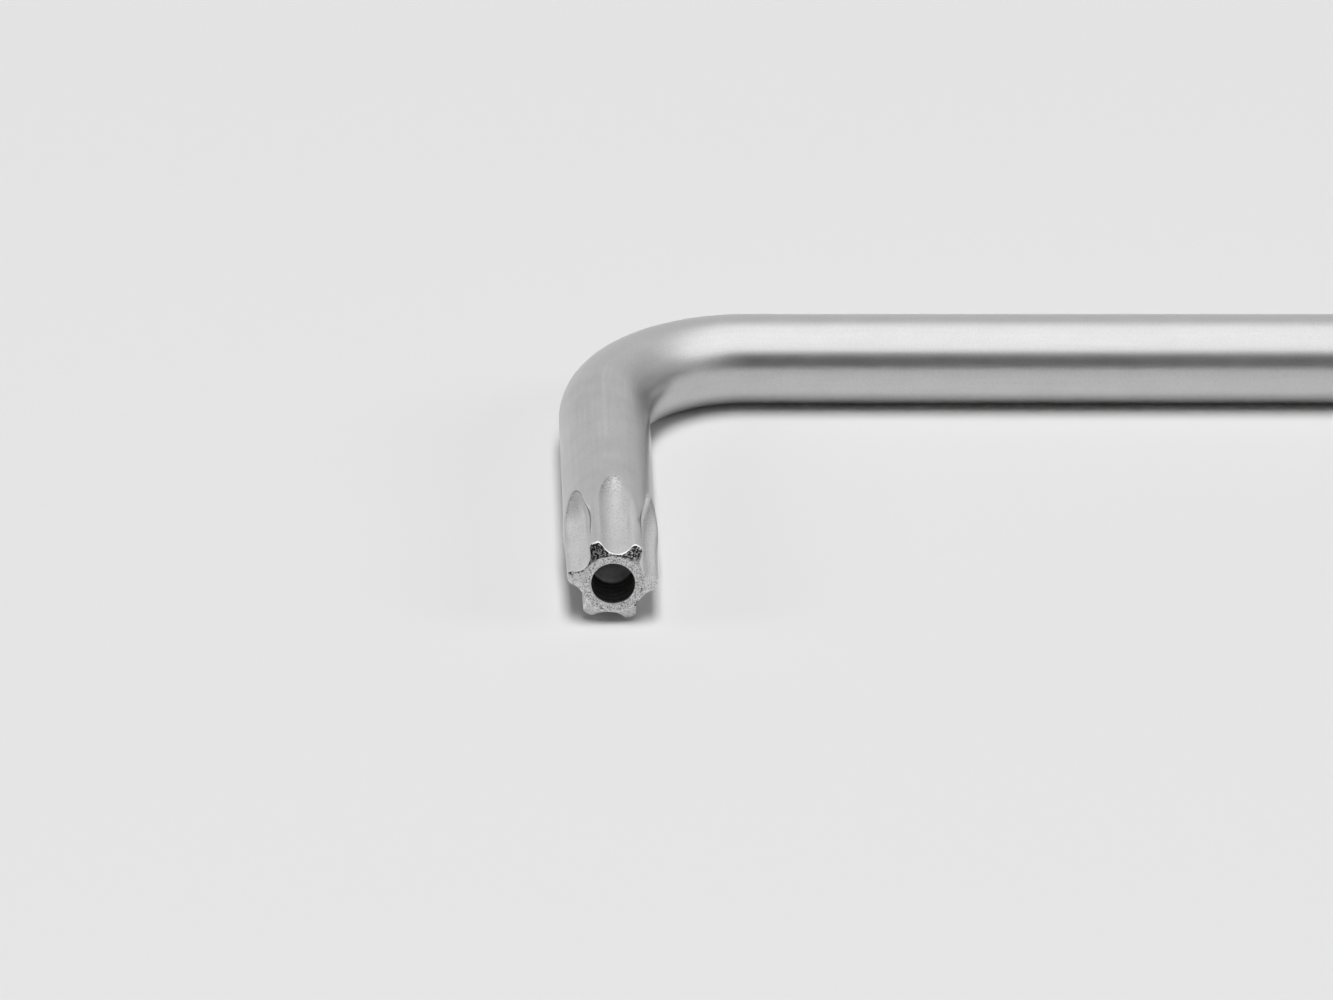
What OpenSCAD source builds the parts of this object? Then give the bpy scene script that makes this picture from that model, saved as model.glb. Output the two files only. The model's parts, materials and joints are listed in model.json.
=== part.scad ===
// Star-drive key: one bent steel rod with a six-lobe star formed on its short arm.
// It lies flat, with the long arm along +X and the short arm towards -Y.
// The origin is under the middle of the key, on the surface that it lies on.

/* [Rod] */
// Diameter of the round rod
rod_d = 3.95; // [3.85:0.05:4.4]
// Short arm, from the outside of the bend to the star's end face
short_arm = 24.5; // [22:0.5:60]
// Long arm, from the outside of the bend to the plain end
long_arm = 70; // [40:1:160]
// Radius of the bend, at the middle of the rod
bend_r = 6.4; // [4.5:0.1:10]
// Chamfer round the plain end of the long arm
end_chamfer = 0.3; // [0.1:0.05:0.8]

/* [Star] */
// Across opposite lobes at the end face, where the star tapers
star_d = 3.85; // [3.7:0.01:3.88]
// Across the rounded crests of opposite lobes, behind the taper
crest_d = 3.92; // [3.9:0.01:3.95]
// Across the bottoms of opposite flutes
root_d = 2.72; // [2.66:0.01:2.8]
// Radius of each rounded crest
crest_r = 0.3; // [0.26:0.01:0.34]
// Length of the flutes at their full depth
flute_l = 2.5; // [1.5:0.1:6]
// Radius of the arc in which a flute runs out to the surface of the rod
runout_r = 14; // [8:0.5:20]
// Turn of the star on the arm, from one lobe pointing along +X
star_turn = 5; // [0:1:59]

/* [Tip] */
// Flat ring on the end face, inside the chamfer
face_d = 2.62; // [2.3:0.02:2.64]
// Angle between the end face and the chamfer on the lobes
tip_chamfer = 30; // [20:1:45]
// Swelling of the rod between the flutes, on the radius
swell = 0.05; // [0.03:0.01:0.1]
// Length over which the swelling dies away, up to the end of the flutes
swell_l = 1.8; // [1:0.1:2.4]

/* [Pin hole] */
// Bore that clears the pin of a security screw
pin_hole_d = 1.85; // [1.6:0.05:2.1]
// Depth of the bore's round wall
pin_hole_l = 2; // [1.5:0.1:4]
// Angle of the cone that the drill leaves at the bottom
drill_angle = 118; // [90:1:140]

/* [Hidden] */
$fn = 96;

// How far a cutting shape runs past the surface that it cuts
past = 0.5;
// The bend is this much fatter than the rod, so that each arm ends this deep inside it
grip = 0.005;
grip_l = 0.1;

LOBES = 6;
pitch = 360 / LOBES;

rod_r = rod_d / 2;
swollen_r = rod_r + swell;
root_r = root_d / 2;

// From the corner, where the axes of the two arms cross, to each end
short_l = short_arm - rod_r;
long_l = long_arm - rod_r;

// The run-out's arc starts along the arm and comes up to the rod's surface
runout_l = runout_r * sin(acos(1 - (rod_r - root_r) / runout_r));
formed_l = flute_l + runout_l;
// Turn of that arc which clears the swollen rod
runout_a = acos(1 - (swollen_r + past - root_r) / runout_r);

tip_chamfer_l = (star_d - face_d) / 2 * tan(tip_chamfer);
drill_l = pin_hole_d / 2 / tan(drill_angle / 2);

// The star's outline is crest arcs joined by wider flute arcs. A flute arc would just touch
// both crests beside it; it is let in by bite, which leaves the faint edge of a formed flute.
bite = 0.004;
crest_c = crest_d / 2 - crest_r;
flute_r = (pow(crest_c, 2) + pow(root_r, 2) - 2 * crest_c * root_r * cos(pitch / 2)
        - pow(crest_r - bite, 2)) / (2 * (crest_r - bite + crest_c * cos(pitch / 2) - root_r));
flute_c = root_r + flute_r;

// Middle of the key's footprint, seen from the corner
middle = [(long_l - rod_r) / 2, (rod_r - short_l) / 2];

function on_ray(r, a) = [r * cos(a), r * sin(a)];

// What is cut away between the middles of two crests, with the flute towards +X
module flute_section() {
    crest = on_ray(crest_c, pitch / 2);
    to_flute = [flute_c, 0] - crest;
    touch = crest + crest_r * to_flute / norm(to_flute);
    far = on_ray(swollen_r + 2 * past, pitch / 2);
    difference() {
        polygon([[touch.x, -touch.y], [crest.x, -crest.y], [far.x, -far.y], far, crest, touch]);
        for (side = [-1, 1]) translate([crest.x, side * crest.y]) circle(crest_r);
    }
    translate([flute_c, 0]) circle(flute_r);
}

// One flute: straight at its full depth, then out to the surface along an arc
module flute() {
    translate([0, 0, -past]) linear_extrude(flute_l + past) flute_section();
    translate([root_r + runout_r, 0, flute_l]) rotate([90, 0, 180])
        rotate_extrude(angle = runout_a)
            translate([root_r + runout_r, 0]) mirror([1, 0]) flute_section();
}

// Short arm, from the end face at z = 0 up to the bend
module formed_arm() {
    difference() {
        rotate_extrude() polygon([
            [0, 0],
            [face_d / 2, 0],
            [star_d / 2, tip_chamfer_l],
            [swollen_r, formed_l - swell_l],
            [rod_r, formed_l],
            [rod_r, short_l - bend_r + grip_l],
            [0, short_l - bend_r + grip_l],
        ]);
        for (i = [0:LOBES - 1]) rotate((i + 0.5) * pitch + star_turn) flute();
        pin_hole();
    }
}

// Blind bore with its drilled bottom
module pin_hole() {
    translate([0, 0, -past]) cylinder(h = pin_hole_l + past, d = pin_hole_d);
    translate([0, 0, pin_hole_l]) cylinder(h = drill_l, d1 = pin_hole_d, d2 = 0);
}

// Quarter of a ring, from the short arm round to the long arm
module bend() {
    translate([bend_r, -bend_r, 0]) rotate(90) rotate_extrude(angle = 90)
        translate([bend_r, 0]) circle(rod_r + grip);
}

// Plain rod from the bend to its chamfered end
module plain_arm() {
    rotate([90, 0, 90]) rotate_extrude() polygon([
        [0, bend_r - grip_l],
        [rod_r, bend_r - grip_l],
        [rod_r, long_l - end_chamfer],
        [rod_r - end_chamfer, long_l],
        [0, long_l],
    ]);
}

module star_key() {
    color("silver") translate([-middle.x, -middle.y, rod_r]) {
        translate([0, -short_l, 0]) rotate([-90, 0, 0]) formed_arm();
        bend();
        plain_arm();
    }
}

star_key();
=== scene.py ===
"""Star-drive key: one bent steel rod with a formed six-lobe star and a pin hole at its short end.

All places are in metres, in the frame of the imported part: the long arm runs along +X, the short arm
towards -Y, and the key lies on z = 0. One closed surface stands for the rod, its star and its bore.
"""

import json
import math

import bpy
import numpy as np
from mathutils import Matrix, Vector


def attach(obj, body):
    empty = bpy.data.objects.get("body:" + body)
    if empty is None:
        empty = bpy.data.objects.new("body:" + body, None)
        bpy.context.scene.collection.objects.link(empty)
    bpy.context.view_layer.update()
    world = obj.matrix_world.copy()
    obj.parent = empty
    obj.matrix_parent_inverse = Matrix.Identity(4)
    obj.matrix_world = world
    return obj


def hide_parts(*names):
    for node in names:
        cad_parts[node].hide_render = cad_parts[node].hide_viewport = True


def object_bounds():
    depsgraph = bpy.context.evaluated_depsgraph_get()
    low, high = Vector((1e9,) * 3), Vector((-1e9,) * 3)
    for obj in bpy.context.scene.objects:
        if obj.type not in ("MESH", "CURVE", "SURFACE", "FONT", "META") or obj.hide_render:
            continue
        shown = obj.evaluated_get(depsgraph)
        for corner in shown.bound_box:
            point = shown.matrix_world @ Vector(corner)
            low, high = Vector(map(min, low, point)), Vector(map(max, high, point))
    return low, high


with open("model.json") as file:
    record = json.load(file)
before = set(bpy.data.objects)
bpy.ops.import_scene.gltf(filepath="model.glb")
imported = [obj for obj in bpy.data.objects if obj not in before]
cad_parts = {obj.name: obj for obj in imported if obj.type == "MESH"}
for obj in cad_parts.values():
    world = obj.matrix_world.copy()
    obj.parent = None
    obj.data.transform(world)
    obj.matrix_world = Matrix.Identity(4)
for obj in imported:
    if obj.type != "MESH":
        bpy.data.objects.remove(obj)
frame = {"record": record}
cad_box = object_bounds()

MM = 0.001

# Sizes that the frame gives
mounts = {mount["name"]: mount for mount in frame["record"]["mounts"]}
hole = mounts["pin_hole"]
arm = mounts["long_arm"]
TIP = Vector(mounts["star_end"]["pos_m"])
ROD_R = arm["dims"]["r_mm"] * MM
ARM_L = arm["dims"]["length_mm"] * MM
ARM_Y = arm["pos_m"][1]
ARM_START = arm["pos_m"][0] - ARM_L / 2
ARM_END = cad_box[1].x
BEND_R = ARM_START - TIP.x
BEND_START = ARM_Y - BEND_R - TIP.y
HOLE_R = hole["dims"]["r_mm"] * MM
HOLE_L = hole["dims"]["length_mm"] * MM

# Sizes of the star, as the part's source has them
LOBES = 6
PITCH = 2 * math.pi / LOBES
CREST_R = 0.3 * MM
CREST_OUT = 3.92 / 2 * MM
ROOT_OUT = 2.72 / 2 * MM
END_OUT = 3.85 / 2 * MM
FACE_OUT = 2.62 / 2 * MM
FLUTE_L = 2.5 * MM
RUNOUT_R = 14 * MM
SWELL = 0.05 * MM
SWELL_L = 1.8 * MM
BITE = 0.004 * MM
STAR_TURN = math.radians(-5)
TIP_SLOPE = math.tan(math.radians(30))
DRILL_SLOPE = math.tan(math.radians(118 / 2))
END_CHAMFER = 0.3 * MM

# What follows from them: the length of the star with its run-out, the angle of its top flute, and
# that of the lobe where the burr begins
FORMED_L = FLUTE_L + math.sqrt(RUNOUT_R**2 - (RUNOUT_R - ROD_R + ROOT_OUT) ** 2)
TOP_FLUTE = STAR_TURN + 1.5 * PITCH
BURR_LOBE = STAR_TURN + 2 * PITCH

# Small shapes that only this surface has. First the roundings of the hole's rim and the long arm's
# end, of the star's outer edge, and of the flutes' borders at the tip and where they run out
RIM = 0.03 * MM
OUTER_RIM = 0.045 * MM
BLEND = 0.015 * MM
RUNOUT_BLEND = 0.06 * MM

# The lips along the flutes, and the burr with its share at each ring of the outer edge
LIP = 0.009 * MM
LIP_W = 0.04 * MM
BURR = 0.03 * MM
BURR_SHARES = (0.3, 0.8, 1.0, 1.0, 0.8, 0.5, 0.2)

# The pits in the end face, each as (x, z, size) from the axis, and the depth at which painted shade
# fills one
PITS = [
    (1.03 * MM, -0.90 * MM, 0.045 * MM),
    (0.95 * MM, -1.03 * MM, 0.04 * MM),
    (-0.5 * MM, -1.15 * MM, 0.03 * MM),
    (1.2 * MM, -0.25 * MM, 0.03 * MM),
]
PIT_DARK = 0.012 * MM

# Points in a ring, and rings in each stretch of the surface, from the bottom of the hole outwards
COLUMNS = 324
CONE_RINGS = 8
BORE_RINGS = 14
RIM_RINGS = 3
FACE_RINGS = 13
CHAMFER_RINGS = 11
EDGE_RINGS = 6
STAR_RINGS = 112
PLAIN_RINGS = 15
BEND_RINGS = 48
ARM_RINGS = 23

# How far back the star's rings reach, the power that draws them closer at the tip, the rings on each
# side of the outer edge that the burr marks, and the ring beside a pole as a share of what it closes
STAR_RINGS_L = 7.2 * MM
CLOSER_AT_TIP = 1.05
BURR_RINGS = 4
BESIDE_POLE = 0.001

# The first ring of the end face, of its chamfer, of the rounded outer edge and of the arm's side
FACE_AT = CONE_RINGS + BORE_RINGS + RIM_RINGS
CHAMFER_AT = FACE_AT + FACE_RINGS
EDGE_AT = CHAMFER_AT + CHAMFER_RINGS
SIDE_AT = EDGE_AT + EDGE_RINGS


# ---------------------------------------------------------------- the key's shape


def smooth_step(x, low, high):
    """0 below low, 1 above high, and 3t^2 - 2t^3 between them."""
    t = np.clip((x - low) / (high - low), 0, 1)
    return t * t * (3 - 2 * t)


def soft_min(a, b, width):
    """The smaller of two lengths, with the corner between them rounded over about that width:
    the mean of both, less half the root of their difference squared plus the width squared."""
    return (a + b - np.sqrt((a - b) ** 2 + width**2)) / 2


def arc(start, corner, end, steps):
    """Points from start to end along the curve with one control point, both ends left out:
    (1 - t)^2 start + 2t(1 - t) corner + t^2 end."""
    t = (np.arange(steps) + 1) / (steps + 1)
    t = t.reshape(-1, *[1] * start.ndim)
    return (1 - t) ** 2 * start + 2 * t * (1 - t) * corner + t**2 * end


def flute_radius():
    """Radius of the flute's arc: it passes the root, and touches a crest arc let in by BITE."""
    crest_c, crest_r = CREST_OUT - CREST_R, CREST_R - BITE
    reach = crest_c * math.cos(PITCH / 2)
    top = crest_c**2 + ROOT_OUT**2 - 2 * ROOT_OUT * reach - crest_r**2
    return top / (2 * (crest_r + reach - ROOT_OUT))


def star_radius(turn, depth):
    """Distance from the arm's axis to the fluted surface, at an angle from a flute's middle and a
    depth behind the end face. At a sideways distance v from the flute's middle plane, the section's
    height u0 is the flute arc near the middle and the crest arc beyond the point where they meet.
    Behind FLUTE_L the section turns about a far axis, so
    u = axis - root((axis - u0)^2 - (depth - FLUTE_L)^2). As v = R sin(turn) and R = u / cos(turn),
    R is found by putting it back into that a few dozen times."""
    flute_r = flute_radius()
    flute_c = ROOT_OUT + flute_r
    crest_c = CREST_OUT - CREST_R
    crest_u, crest_v = crest_c * math.cos(PITCH / 2), crest_c * math.sin(PITCH / 2)
    meet = crest_v * (1 - CREST_R / math.hypot(flute_c - crest_u, crest_v))
    axis = ROOT_OUT + RUNOUT_R
    past = np.maximum(depth - FLUTE_L, 0)
    radius = np.full(np.broadcast(turn, depth).shape, CREST_OUT)
    for _ in range(40):
        v = np.abs(radius * np.sin(turn))
        in_flute = flute_c - np.sqrt(np.maximum(flute_r**2 - v**2, 0))
        on_crest = crest_u + np.sqrt(np.maximum(CREST_R**2 - (v - crest_v) ** 2, 0))
        height = np.where(v < meet, in_flute, on_crest)
        height = axis - np.sqrt(np.maximum((axis - height) ** 2 - past**2, 0))
        radius = 0.5 * radius + 0.5 * np.minimum(height / np.cos(turn), 2 * ROD_R)
    return radius


def rod_radius(depth):
    """The rod before the star cuts it: straight lines between a few stops, as it tapers to the
    star's end and swells a little where the flutes run out."""
    chamfer_l = (END_OUT - FACE_OUT) * TIP_SLOPE
    stops = [0, chamfer_l, FORMED_L - SWELL_L, FORMED_L, 2 * BEND_START]
    return np.interp(depth, stops, [END_OUT, END_OUT, ROD_R + SWELL, ROD_R, ROD_R])


def lip_height(cut, angle, depth):
    """How far the lips stand out beside the flutes: LIP exp(-(cut / LIP_W)^2), where cut is the
    rod's radius less the star's. They fade out at both ends of the flutes and beside the top one."""
    lip = LIP * np.exp(-((cut / LIP_W) ** 2)) * smooth_step(depth, 1 * MM, 3 * MM)
    lip = lip * (1 - smooth_step(depth, FORMED_L - 1.2 * MM, FORMED_L))
    return lip * (0.3 + 0.7 * smooth_step(np.abs(angle - TOP_FLUTE), 0.35, 0.6))


def side_radius(angle, depth):
    """Distance from the arm's axis to its side, and how far the star cuts into the rod there: the
    smaller of the rod and the star, with an edge that grows softer as the flutes run out."""
    rod = rod_radius(depth)
    star = star_radius((angle - STAR_TURN) % PITCH - PITCH / 2, depth)
    blend = BLEND + (RUNOUT_BLEND - BLEND) * smooth_step(depth, 4.6 * MM, 6.4 * MM)
    return soft_min(rod, star, blend) + lip_height(rod - star, angle, depth), rod - star


def burr_height(angle):
    """How far the rolled burr stands out of the outer edge between two lobes: a hump that is lower
    over its first half, made ragged by the size of a sum of three sines."""
    turn = np.degrees(angle - BURR_LOBE)
    hump = (0.35 + 0.65 * smooth_step(turn, 5, 35)) * smooth_step(turn, -1, 7)
    hump = hump * (1 - smooth_step(turn, 53, 61))
    ragged = np.abs(np.sin(53 * angle) + np.sin(89 * angle + 1) + np.sin(131 * angle + 2)) / 3
    return BURR * hump * (0.2 + ragged)


def pit_depth(radius, angle):
    """How far the end face is dented: a round bowl size exp(-(distance / size)^2) at each pit."""
    x, z = radius * np.cos(angle), radius * np.sin(angle)
    return sum(
        size * np.exp(-((x - pit_x) ** 2 + (z - pit_z) ** 2) / size**2) for pit_x, pit_z, size in PITS
    )


def tip_profile(angle):
    """Depth and radius of each ring from the drilled bottom of the hole to the star's outer edge,
    for every angle: cone, hole, rounded rim, flat face, chamfer and rounded outer edge. The outer
    edge lies where the chamfer meets the arm's side, which is found by putting each depth back into
    the side's radius. Also the depth at which the side begins."""
    meets = np.full(angle.shape, 0.2 * MM)
    for _ in range(30):
        meets = 0.5 * meets + 0.5 * (side_radius(angle, meets)[0] - FACE_OUT) * TIP_SLOPE
    rings = []

    def ring(depth, radius):
        rings.append((np.broadcast_to(depth, angle.shape), np.broadcast_to(radius, angle.shape)))

    for share in np.linspace(BESIDE_POLE, 0.97, CONE_RINGS):
        ring(HOLE_L + HOLE_R * (1 - share) / DRILL_SLOPE, HOLE_R * share)
    for share in np.linspace(0, 1, BORE_RINGS):
        ring(HOLE_L - share * (HOLE_L - RIM), HOLE_R)
    rim = np.array([[RIM, HOLE_R], [0, HOLE_R], [0, HOLE_R + RIM]])
    for depth, radius in arc(*rim, RIM_RINGS):
        ring(depth, radius)
    for share in np.linspace(0, 1, FACE_RINGS):
        ring(0, HOLE_R + RIM + share * (FACE_OUT - HOLE_R - 1.5 * RIM))
    edge = np.minimum(OUTER_RIM, 0.35 * meets / TIP_SLOPE)
    inner = FACE_OUT + edge / 2
    outer = FACE_OUT + meets / TIP_SLOPE - edge
    for share in np.linspace(0, 1, CHAMFER_RINGS):
        radius = inner + share * (outer - inner)
        ring((radius - FACE_OUT) * TIP_SLOPE, radius)
    begins = meets + OUTER_RIM
    start = np.stack([(outer - FACE_OUT) * TIP_SLOPE, outer])
    corner = np.stack([meets, FACE_OUT + meets / TIP_SLOPE])
    end = np.stack([begins, side_radius(angle, begins)[0]])
    for depth, radius in arc(start, corner, end, EDGE_RINGS):
        ring(depth, radius)
    return np.array(rings), begins


def short_arm(angle):
    """Depth and radius of each ring of the short arm, and how far the star cuts into the rod at
    each ring of its side. The tip comes first, with the burr rolled over its outer edge and the
    pits in its face; the side follows it, with rings that lie a little closer towards the tip."""
    tip, begins = tip_profile(angle)
    burr = burr_height(angle)
    for row, share in zip(range(EDGE_AT - 1, SIDE_AT), BURR_SHARES):
        tip[row, 0] -= 0.6 * share * burr
        tip[row, 1] += share * burr
    dented = slice(FACE_AT, EDGE_AT - 1)
    tip[dented, 0] += pit_depth(tip[dented, 1], angle)
    share = (np.linspace(0, 1, STAR_RINGS) ** CLOSER_AT_TIP)[:, None]
    formed = begins + share * (STAR_RINGS_L - begins)
    plain = np.linspace(STAR_RINGS_L, BEND_START, PLAIN_RINGS + 1)[1:]
    depth = np.concatenate([formed, np.repeat(plain[:, None], COLUMNS, 1)])
    side, cut = side_radius(angle, depth)
    return np.concatenate([tip[:, 0], depth]), np.concatenate([tip[:, 1], side]), cut


def long_arm():
    """X and radius of each ring of the long arm: straight, a chamfer with both edges rounded, and
    the flat end."""
    rows = [(x, ROD_R) for x in np.linspace(ARM_START, ARM_END - END_CHAMFER - RIM, ARM_RINGS + 1)[1:]]
    start, end = np.array([ARM_END - END_CHAMFER, ROD_R]), np.array([ARM_END, ROD_R - END_CHAMFER])
    slope = RIM * math.sqrt(0.5) * np.array([1, -1])
    rows += list(arc(start - np.array([RIM, 0]), start, start + slope, RIM_RINGS))
    rows += [start + t * (end - start) for t in (0.15, 0.5, 0.85)]
    rows += list(arc(end - slope, end, end - np.array([0, RIM]), RIM_RINGS))
    flat_r = ROD_R - END_CHAMFER - RIM
    rows += [(ARM_END, flat_r * share) for share in (1, 0.8, 0.6, 0.4, 0.2, BESIDE_POLE)]
    return np.array(rows)


def short_arm_points(depth, radius, angle):
    """Points round the short arm's axis, from +X towards +Z as the angle grows."""
    x = TIP.x + radius * np.cos(angle)
    z = TIP.z + radius * np.sin(angle)
    return np.stack([x, TIP.y + depth, z], -1)


def bend_points(bend, radius, angle):
    """Points round a quarter circle: at each bend angle the rod's section stands across its path."""
    side = BEND_R - radius * np.cos(angle)
    x = TIP.x + BEND_R - side * np.cos(bend)
    y = ARM_Y - BEND_R + side * np.sin(bend)
    z = np.broadcast_to(TIP.z + radius * np.sin(angle), x.shape)
    return np.stack([x, y, z], -1)


def long_arm_points(along, radius, angle):
    """Points round the long arm's axis, in step with the columns of the bend."""
    y = ARM_Y - radius * np.cos(angle)
    z = TIP.z + radius * np.sin(angle)
    return np.stack([np.broadcast_to(along, y.shape), y, z], -1)


def unbent_places(path, angle):
    """The same points on a straight rod: sideways, up, and the length of the path from the tip."""
    around = ROD_R * np.stack([np.cos(angle), np.sin(angle)], -1)
    around = np.broadcast_to(around, (len(path), COLUMNS, 2))
    along = np.broadcast_to(path[:, None, None], (len(path), COLUMNS, 1))
    return np.concatenate([around, along], -1)


def ring_mask(count, first, last):
    """1 on the rings from first up to last, and 0 on the others, for that many rings."""
    row = np.arange(count)[:, None] + np.zeros((1, COLUMNS))
    return ((row >= first) & (row < last)).astype(float)


def key_surface():
    """Rings of points from the hole's bottom, over the end face, along the short arm, round the bend
    and along the long arm to its end, and the marks by which the material tells its places apart:
    masks from 0 to 1, groove, which is the star's cut in millimetres (-1 where there is no side of
    the short arm), and unbent, the place on the rod as if it were straight."""
    angle = np.arange(COLUMNS) * 2 * math.pi / COLUMNS
    depth, radius, cut = short_arm(angle)
    bend = np.linspace(0, math.pi / 2, BEND_RINGS + 1)[1:]
    end = long_arm()
    points = np.concatenate(
        [
            short_arm_points(depth, radius, angle),
            bend_points(bend[:, None], ROD_R, angle),
            long_arm_points(end[:, :1], end[:, 1:], angle),
        ]
    )
    bend_l = BEND_START + BEND_R * bend
    path = np.concatenate([depth.mean(1), bend_l, bend_l[-1] + end[:, 0] - ARM_START])

    count, side = len(points), slice(SIDE_AT, len(depth))
    tip = slice(FACE_AT, SIDE_AT)
    flute, groove, pits = np.zeros((3, count, COLUMNS))
    flute[side] = smooth_step(cut, 0, 0.15 * MM)
    groove[:] = -1
    groove[side] = np.clip(cut / MM, -1, 1)
    # how deep each pit is, which the steel paints as shade
    pits[tip] = np.minimum(pit_depth(radius[tip], angle) / PIT_DARK, 1)
    burred = ring_mask(count, EDGE_AT - BURR_RINGS, EDGE_AT + BURR_RINGS)
    # the bore, the cone and the outer edge each take in the next stretch's first ring
    marks = {
        # the hole, which the steel darkens with painted shade and marks with turning rings
        "inside": ring_mask(count, 0, CONE_RINGS + BORE_RINGS + 1),
        "drilled": ring_mask(count, 0, CONE_RINGS + 1),
        "face": ring_mask(count, FACE_AT, CHAMFER_AT),
        "chamfer": ring_mask(count, CHAMFER_AT, EDGE_AT),
        # the star's outer edge, which the steel paints with a highlight
        "rim": ring_mask(count, EDGE_AT, SIDE_AT + 1),
        # the burr, along which the steel paints a ragged shadow
        "burr": burred * np.minimum(burr_height(angle) / BURR * 2, 1),
        "flute": flute,
        "groove": groove,
        "pits": pits,
        "unbent": unbent_places(path, angle),
    }
    return points, marks


def grid_mesh(name, points):
    """A closed mesh from rings of points: quads between the rings, and a fan to a pole at each end."""
    rows, columns = points.shape[:2]
    poles = points[[0, -1]].mean(1)
    vertices = np.concatenate([points.reshape(-1, 3), poles])
    here = np.arange(rows * columns).reshape(rows, columns)
    beside = np.roll(here, -1, 1)
    quads = np.stack([here[:-1], here[1:], beside[1:], beside[:-1]], -1).reshape(-1, 4)
    first, last = len(vertices) - 2, len(vertices) - 1
    start = np.stack([here[0], beside[0], np.full(columns, first)], -1)
    finish = np.stack([beside[-1], here[-1], np.full(columns, last)], -1)
    loops = np.concatenate([quads.ravel(), start.ravel(), finish.ravel()])
    sizes = np.concatenate([np.full(len(quads), 4), np.full(2 * columns, 3)])
    mesh = bpy.data.meshes.new(name)
    mesh.vertices.add(len(vertices))
    mesh.vertices.foreach_set("co", vertices.astype(np.float32).ravel())
    mesh.loops.add(len(loops))
    mesh.loops.foreach_set("vertex_index", loops.astype(np.int32))
    mesh.polygons.add(len(sizes))
    starts = np.concatenate([[0], np.cumsum(sizes)[:-1]])
    mesh.polygons.foreach_set("loop_start", starts.astype(np.int32))
    mesh.polygons.foreach_set("use_smooth", np.ones(len(sizes), bool))
    mesh.update(calc_edges=True)
    mesh.validate()
    return mesh


def add_mark(mesh, name, values):
    """One number or vector at each vertex, for the material; a pole takes the mean of its ring."""
    sized = values.reshape(values.shape[0], values.shape[1], -1)
    full = np.concatenate([sized.reshape(-1, sized.shape[2]), sized[[0, -1]].mean(1)])
    kind, field = ("FLOAT", "value") if sized.shape[2] == 1 else ("FLOAT_VECTOR", "vector")
    layer = mesh.attributes.new(name, kind, "POINT")
    layer.data.foreach_set(field, full.astype(np.float32).ravel())


def make_key():
    """The whole key in one closed piece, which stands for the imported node."""
    points, marks = key_surface()
    mesh = grid_mesh("star_key_steel", points)
    for name, values in marks.items():
        add_mark(mesh, name, values)
    key = bpy.data.objects.new("key", mesh)
    bpy.context.scene.collection.objects.link(key)
    return key


# ---------------------------------------------------------------- materials


class Wire:
    """An output socket. Arithmetic on it, with another wire or a number, adds Math nodes."""

    def __init__(self, nodes, socket):
        self.nodes = nodes
        self.socket = socket

    def math(self, operation, *values):
        inputs = dict(enumerate([self, *values]))
        return self.nodes.add("ShaderNodeMath", {"operation": operation}, inputs)

    def __add__(self, other):
        return self.math("ADD", other)

    __radd__ = __add__

    def __mul__(self, other):
        return self.math("MULTIPLY", other)

    __rmul__ = __mul__

    def __sub__(self, other):
        return self.math("SUBTRACT", other)

    def __rsub__(self, other):
        return (self * -1.0) + other

    def __pow__(self, other):
        return self.math("POWER", other)

    def step(self, low, high):
        """0 below low, 1 above high, and a smooth change between them."""
        inputs = {"Value": self, "From Min": low, "From Max": high}
        return self.nodes.add("ShaderNodeMapRange", {"interpolation_type": "SMOOTHSTEP"}, inputs)

    def drop(self, low, high):
        """1 below low, 0 above high, and a smooth change between them."""
        return 1 - self.step(low, high)

    def near(self, middle, inner, outer):
        """1 within the inner distance of a middle value, and 0 beyond the outer distance."""
        return (self - middle).math("ABSOLUTE").drop(inner, outer)


class Nodes:
    """Adds nodes to one material, or to the world, and joins them up."""

    def __init__(self, owner):
        owner.use_nodes = True
        self.tree = owner.node_tree
        self.tree.nodes.clear()

    def add(self, kind, settings=None, inputs=None, output=0):
        """One node of that kind: its settings come first, then its sockets' values or wires."""
        node = self.tree.nodes.new(kind)
        for name, value in (settings or {}).items():
            setattr(node, name, value)
        for key, value in (inputs or {}).items():
            if isinstance(value, Wire):
                self.tree.links.new(value.socket, node.inputs[key])
            else:
                node.inputs[key].default_value = value
        return Wire(self, node.outputs[output]) if len(node.outputs) else None

    def parts(self, vector):
        """The three numbers of a vector."""
        first = self.add("ShaderNodeSeparateXYZ", None, {0: vector})
        return [Wire(self, socket) for socket in first.socket.node.outputs]

    def noise(self, place, scale, detail, roughness):
        """Cloudy noise round 0.5, with about that many features to a metre."""
        inputs = {"Vector": place, "Scale": scale, "Detail": detail, "Roughness": roughness}
        return self.add("ShaderNodeTexNoise", None, inputs)

    def mark(self, name, output="Fac"):
        """What the mesh says at each point under that name."""
        return self.add("ShaderNodeAttribute", {"attribute_name": name}, None, output)


def largest(first, *others):
    """The largest of several wires."""
    for other in others:
        first = first.math("MAXIMUM", other)
    return first


def gray(level):
    """An opaque colour without hue."""
    return (level, level, level, 1.0)


# Features to a metre in each noise, the pitch of the turning rings, and the height of the relief
GRAIN = 14000.0
GRIT = 10500.0
DOTS = 17000.0
BURR_SHADOW_FLECKS = 7000.0
DRAW_LINES = 6000.0
CLOUDS = 700.0
TURNING = 0.38 * MM
RELIEF = 0.004 * MM


def bore_turning(depth_way, reach, clouds):
    """Turning rings of the bore, from -1 to 1: a sine of the depth and the distance from the axis
    together, so that they run on over the drilled cone, waved a little by the clouds."""
    return ((depth_way + reach * 0.7) * (2 * math.pi / TURNING) + clouds * 8.0).math("SINE")


def top_streak(across, up, along):
    """A faint streak along the top of the short arm."""
    streak = across.near(-0.06 * MM, 0.03 * MM, 0.16 * MM) * up.step(0.0, 0.5 * MM)
    return streak * along.step(9 * MM, 11 * MM) * along.drop(16 * MM, 19 * MM)


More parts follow.
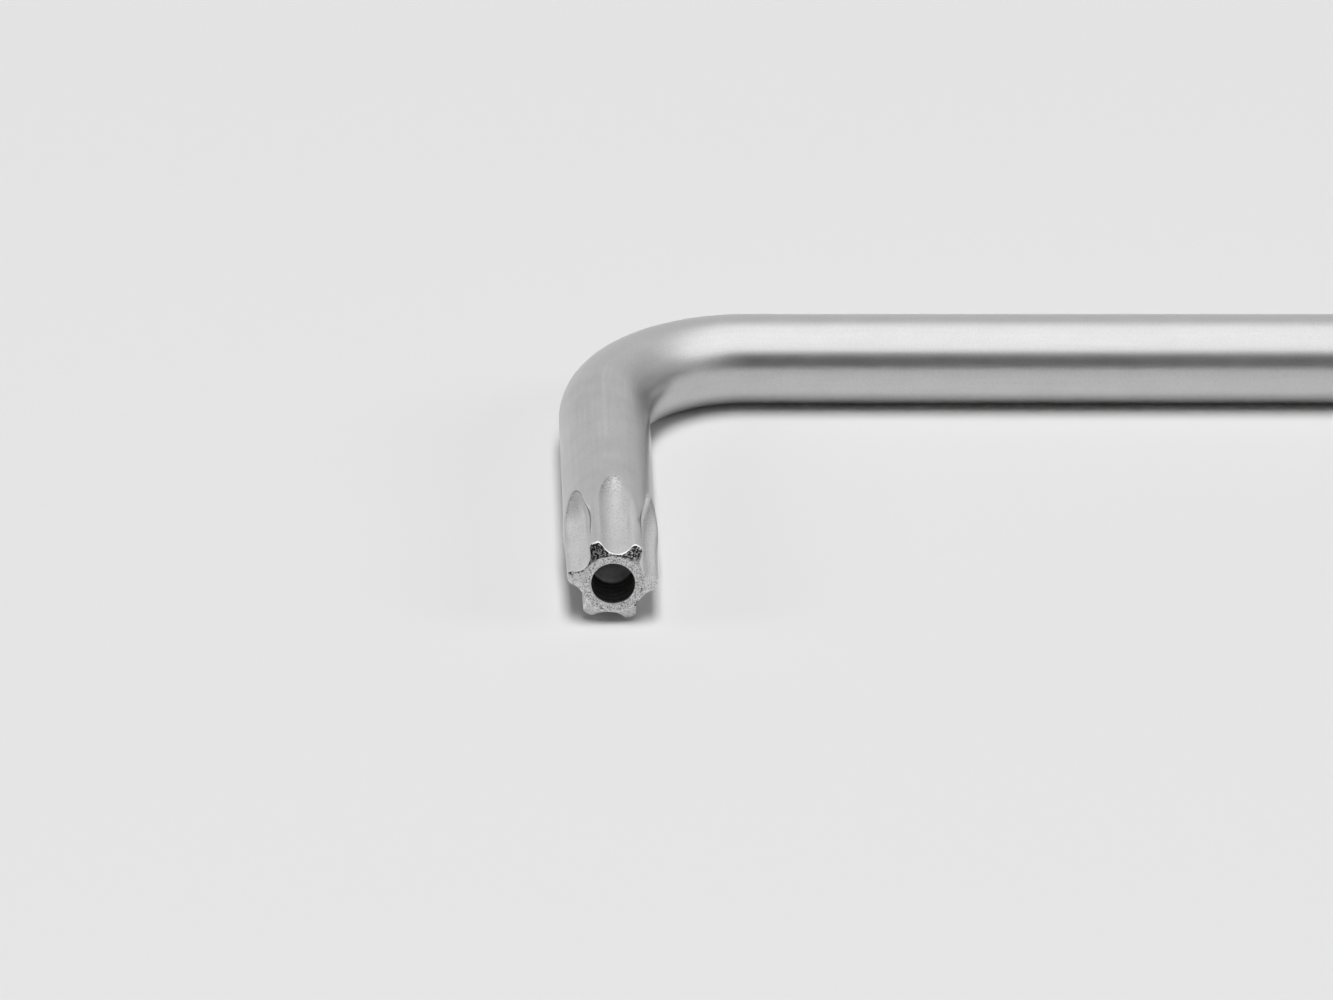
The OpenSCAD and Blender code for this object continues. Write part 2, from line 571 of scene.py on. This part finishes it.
def run_outs(groove, across, up, along):
    """The far ends of the left flute and of the top one."""
    far = groove.step(0.0, 0.03) * along.step(4.4 * MM, 5.8 * MM)
    left = far * across.drop(-1.4 * MM, -1.0 * MM)
    top = far * across.near(0.0, 0.35 * MM, 0.8 * MM) * up.step(0.0, 0.5 * MM)
    return left, top


def flute_borders(groove, across, up, along):
    """Along the side flutes' upper borders: painted shade in a crease just inside, where the groove is
    a few hundredths of a millimetre deep, and on the left one a painted highlight on the crest itself."""
    border = (across * -1.0).step(0.85 * MM, 0.95 * MM) + across.step(1.06 * MM, 1.12 * MM)
    border = border * up.step(0.9 * MM, 1.1 * MM)
    border = border * along.step(0.8 * MM, 1.8 * MM) * along.drop(5.6 * MM, 6.8 * MM)
    crease = border * groove.near(0.035, 0.008, 0.022)
    crest_highlight = border * groove.near(0.0, 0.004, 0.014) * across.drop(-0.2 * MM, 0.2 * MM)
    return crease, crest_highlight


def satin_steel():
    """Plated steel, finely blasted: a satin rod with faint draw lines, flutes and an end face that
    the forming left brighter, and a coarser chamfer. Painted into its colour: highlights along the
    star's outer edge, on a crest, on the lower lobes' brink and round the drilled cone, and shade in
    the hole, the pits, the flutes' creases, along the burr and on the upper lobes."""
    material = bpy.data.materials.new("satin_steel")
    nodes = Nodes(material)
    inside, drilled, face, chamfer = (nodes.mark(n) for n in ("inside", "drilled", "face", "chamfer"))
    rim, burr, flute, groove, pits = (nodes.mark(n) for n in ("rim", "burr", "flute", "groove", "pits"))
    unbent = nodes.mark("unbent", "Vector")
    place = nodes.add("ShaderNodeTexCoord", None, None, "Object")
    across, up, along = nodes.parts(unbent)
    x, y, z = nodes.parts(place)
    above = z - TIP.z
    reach = ((x - TIP.x) ** 2.0 + above**2.0) ** 0.5

    grain = nodes.noise(place, GRAIN, 2.0, 0.6)
    grit = nodes.noise(place, GRIT, 1.0, 0.8)
    dots = nodes.noise(place, DOTS, 1.0, 0.8).step(0.5, 0.62)
    burr_shadow = nodes.noise(place, BURR_SHADOW_FLECKS, 1.0, 0.8).step(0.42, 0.54)
    clouds = nodes.noise(place, CLOUDS, 3.0, 0.55)
    drawn = nodes.add("ShaderNodeMapping", None, {"Vector": unbent, "Scale": (1.0, 1.0, 0.04)})
    lines = nodes.noise(drawn, DRAW_LINES, 2.0, 0.6)
    turning = bore_turning(y, reach, clouds)

    # the plain rod, the places that the forming left brighter, a painted highlight along the star's
    # outer edge, and painted shade in the hole
    formed = largest(flute, face, chamfer)
    tone = 0.56 + 0.11 * formed + 0.05 * flute + 0.25 * rim * (1 - burr) - 0.33 * inside
    # painted shade at the drilled cone's point, lighter outwards, and a painted highlight round its
    # edge
    rings = reach.step(0.05 * MM, 0.6 * MM) * 0.13 + reach.step(0.78 * MM, 0.9 * MM) * 0.1
    tone = tone + drilled * (rings - 0.07)

    # clouds, grain and draw lines, stronger on the handled short arm
    worn = along.drop(15 * MM, 20 * MM)
    tone = tone + (clouds - 0.5) * (0.07 + 0.09 * worn) + (grain - 0.5) * 0.16
    tone = tone + (lines - 0.5) * (0.05 + 0.05 * worn) + 0.03 * top_streak(across, up, along)

    # dark specks on the star and its face, and grit where two of the flutes run out
    spots = grit.step(0.52, 0.64)
    tone = tone - spots * (0.12 * flute + 0.12 * face + 0.28 * chamfer) - dots * 0.44 * face
    left, top = run_outs(groove, across, up, along)
    tone = tone + (grit - 0.5) * (1.1 * top + 0.8 * left) - 0.2 * left - 0.08 * top

    # painted shade in the flutes' creases and in the pits, and painted highlights on a crest and on the
    # lower lobes' brink
    crease, crest_highlight = flute_borders(groove, across, up, along)
    tone = (tone - 0.46 * crease + 0.22 * crest_highlight) * (1 - 0.95 * pits)
    # a painted highlight along the brink of the lower lobes
    brink = reach.near(1.35 * MM, 0.01 * MM, 0.05 * MM) * (face + chamfer)
    tone = tone + 0.14 * brink * above.drop(-0.7 * MM, -0.5 * MM)

    # turning rings in the bore, a ragged painted shadow along the burr, and painted shade in flecks on
    # the upper lobes
    # painted shade in flecks on the upper lobes' chamfer and face edge
    face_edge = face * reach.step(1.25 * MM, 1.275 * MM)
    upper_lobe_shade = largest(chamfer, face_edge) * above.step(0.9 * MM, 1.2 * MM) * grit.step(0.42, 0.5)
    tone = tone * (1 + 0.3 * inside * turning) * (1 - 0.92 * burr * burr_shadow) * (1 - 0.9 * upper_lobe_shade)

    roughness = 0.30 + 0.05 * formed - 0.08 * rim + 0.1 * inside + (clouds - 0.5) * 0.08
    height = grain * 0.3 + lines * 0.35 + grit * (flute * 0.3 + face * 0.9 + chamfer * 1.2)
    relief = {"Strength": 1.0, "Distance": RELIEF, "Height": height + turning * inside * 0.15}
    normal = nodes.add("ShaderNodeBump", None, relief)
    steel = {"Base Color": tone, "Metallic": 1.0, "Roughness": roughness, "Normal": normal}
    surface = nodes.add("ShaderNodeBsdfPrincipled", None, steel)
    nodes.add("ShaderNodeOutputMaterial", None, {"Surface": surface})
    return material


def pale_floor():
    """Plain white board that fades into the background at its rim."""
    material = bpy.data.materials.new("pale_floor")
    nodes = Nodes(material)
    place = nodes.add("ShaderNodeTexCoord", None, None, "Object")
    reach = nodes.add("ShaderNodeVectorMath", {"operation": "LENGTH"}, {0: place}, "Value")
    board = nodes.add("ShaderNodeBsdfDiffuse", None, {"Color": gray(FLOOR_TONE)})
    clear = nodes.add("ShaderNodeBsdfTransparent")
    rim = reach.step(FLOOR_R * 0.6, FLOOR_R * 0.98)
    mixed = nodes.add("ShaderNodeMixShader", None, {0: rim, 1: board, 2: clear})
    nodes.add("ShaderNodeOutputMaterial", None, {"Surface": mixed})
    return material


# ---------------------------------------------------------------- the studio

FLOOR_R = 0.9
FLOOR_SIDES = 96
FLOOR_TONE = 0.8

# How bright the room is: as the camera sees it, its walls and its wide soft light as polished things
# see them, the two ends of its dark side low down in front, and what lights dull things all round
BACKGROUND = 0.79
WALLS = 0.75
SOFTBOX = 1.5
DARK_LEFT = 0.03
DARK_RIGHT = 0.2
FILL = 0.1

# The lamps that light the floor: place, width and depth, watts
ABOVE = (TIP.x + 0.02, -0.5, 2.0), (0.6, 1.6), 37.0
RIGHT = (2.4, -0.2, 1.2), (1.0, 1.0), 9.0
LEFT = (-2.4, -0.2, 1.2), (1.0, 1.0), 9.0

# The camera's place, how far it turns right from +Y, looks down and leans, and its long lens
CAMERA_AT = (-0.044802, -0.409387, 0.196313)
TURN, LOOK_DOWN, LEAN = (math.radians(degrees) for degrees in (2.015, 25.605, 0.841))
LENS = 283.6
SENSOR = 36


def make_floor():
    """A flat disc on z = 0, as one fan of points on a circle."""
    turn = np.arange(FLOOR_SIDES) * 2 * math.pi / FLOOR_SIDES
    points = np.stack([FLOOR_R * np.cos(turn), FLOOR_R * np.sin(turn), 0 * turn], -1)
    mesh = bpy.data.meshes.new("floor")
    mesh.from_pydata(points.tolist(), [], [list(range(FLOOR_SIDES))])
    mesh.materials.append(pale_floor())
    floor = bpy.data.objects.new("floor", mesh)
    bpy.context.scene.collection.objects.link(floor)


def room_seen(nodes):
    """How bright the room is in each direction, for polished things: z is the sine of the angle
    above the horizon, and around turns from the front (0) to the right (90) and to the back (180),
    and to the left with negative degrees. A wide soft light covers what is behind it overhead. The
    rest is a dark side low down in front, and pale walls that are a little darker at the right and
    darker still in its far corner."""
    way = nodes.add("ShaderNodeTexCoord", None, None, "Generated")
    x, y, z = nodes.parts(way)
    around = x.math("ARCTAN2", y * -1.0) * (180 / math.pi)

    front_edge = (y + 1.1 * z).step(-0.2, 0.14)
    rear_edge = (0.887 * z - 1.15 * y - 0.75 * x.math("ABSOLUTE")).step(-0.42, 0.40)
    overhead = front_edge * rear_edge * x.step(-0.6, -0.4) * z.step(0.33, 0.72)

    right = around.step(15.0, 45.0) * around.drop(140.0, 165.0)
    corner = z.drop(0.0, 0.32) * around.step(60.0, 90.0) * around.drop(125.0, 150.0)
    walls = WALLS * (1 - 0.26 * right * (1 - 0.5 * z.step(0.3, 0.6))) * (1 - 0.75 * corner)

    low = z.drop(math.sin(math.radians(36)), math.sin(math.radians(50)))
    dark = low * around.step(-115.0, -95.0) * around.drop(16.0, 62.0)
    dark_side = DARK_LEFT + (DARK_RIGHT - DARK_LEFT) * around.step(-8.0, 8.0)

    seen = walls * (1 - dark) + dark_side * dark
    return seen * (1 - overhead) + SOFTBOX * overhead


def make_room():
    """The world round the key: polished things see the room, the camera sees the plain background,
    and dull things get a weak even fill, as the lamps light them."""
    world = bpy.data.worlds.new("studio")
    bpy.context.scene.world = world
    nodes = Nodes(world)
    seen = room_seen(nodes)
    path = nodes.add("ShaderNodeLightPath")
    rays = {socket.name: Wire(nodes, socket) for socket in path.socket.node.outputs}
    camera = rays["Is Camera Ray"]
    mirror = largest(rays["Is Glossy Ray"], rays["Is Transmission Ray"])
    strength = BACKGROUND * camera + (1 - camera) * (seen * mirror + FILL * (1 - mirror))
    sky = nodes.add("ShaderNodeBackground", None, {"Color": gray(1.0), "Strength": strength})
    nodes.add("ShaderNodeOutputWorld", None, {"Surface": sky})


def make_lamp(name, place, size, power):
    """A flat square-cornered lamp that looks at the key and lights the floor round it; it isn't seen
    in the steel, which shows the room instead."""
    light = bpy.data.lights.new(name, "AREA")
    light.shape = "RECTANGLE"
    light.size, light.size_y = size
    light.energy = power
    lamp = bpy.data.objects.new(name, light)
    lamp.location = place
    away = Vector(place) - Vector((TIP.x, 0, 0))
    lamp.rotation_euler = away.to_track_quat("Z", "Y").to_euler()
    lamp.visible_glossy = False
    lamp.visible_camera = False
    bpy.context.scene.collection.objects.link(lamp)


def make_camera():
    """Long lens, a little to the left of the tip, looking down along the short arm."""
    flat = math.cos(LOOK_DOWN)
    ahead = Vector((math.sin(TURN) * flat, math.cos(TURN) * flat, -math.sin(LOOK_DOWN)))
    level = Vector((math.cos(TURN), -math.sin(TURN), 0))
    upright = level.cross(ahead)
    right = level * math.cos(LEAN) + upright * math.sin(LEAN)
    up = upright * math.cos(LEAN) - level * math.sin(LEAN)
    lens = bpy.data.cameras.new("camera")
    lens.lens = LENS
    lens.sensor_width = SENSOR
    lens.clip_start = 0.01
    lens.clip_end = 10
    camera = bpy.data.objects.new("camera", lens)
    camera.matrix_world = Matrix((right, up, -ahead)).transposed().to_4x4()
    camera.location = CAMERA_AT
    bpy.context.scene.collection.objects.link(camera)
    bpy.context.scene.camera = camera


# ---------------------------------------------------------------- put together

key = make_key()
key.data.materials.append(satin_steel())
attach(key, "root")
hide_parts("star_key")

make_floor()
make_room()
make_lamp("lamp_above", *ABOVE)
make_lamp("lamp_right", *RIGHT)
make_lamp("lamp_left", *LEFT)
make_camera()
bpy.context.scene.view_settings.view_transform = "Standard"
